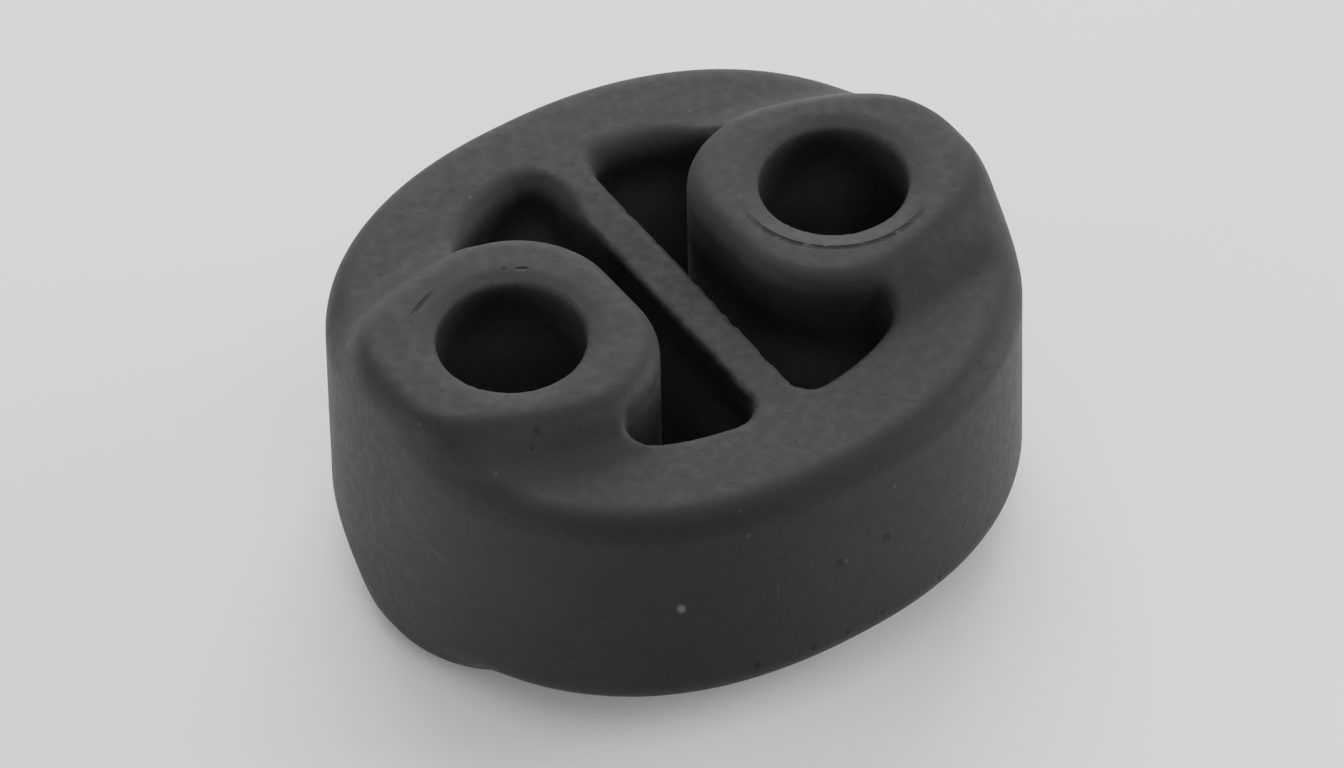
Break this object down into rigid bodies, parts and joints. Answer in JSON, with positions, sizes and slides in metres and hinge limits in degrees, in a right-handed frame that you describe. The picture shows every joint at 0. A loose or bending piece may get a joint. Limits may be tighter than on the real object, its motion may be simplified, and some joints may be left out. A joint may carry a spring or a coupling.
{
  "type": "exhaust hanger rubber",
  "caption": "Oval rubber exhaust hanger with raised bored bosses, a centre web and curved through windows, hung between two rods.",
  "frame": {"origin": "middle of the lower boss faces, under the centre of the web", "axes": "+Z along the bores, X through both bore axes, Y along the web"},
  "size_m": [0.0556, 0.05, 0.028],
  "materials": {
    "rubber": "matt moulded black rubber with a faint bloom"
  },
  "bodies": {
    "root": {"hanger_rubber": "rubber"}
  },
  "joints": []
}
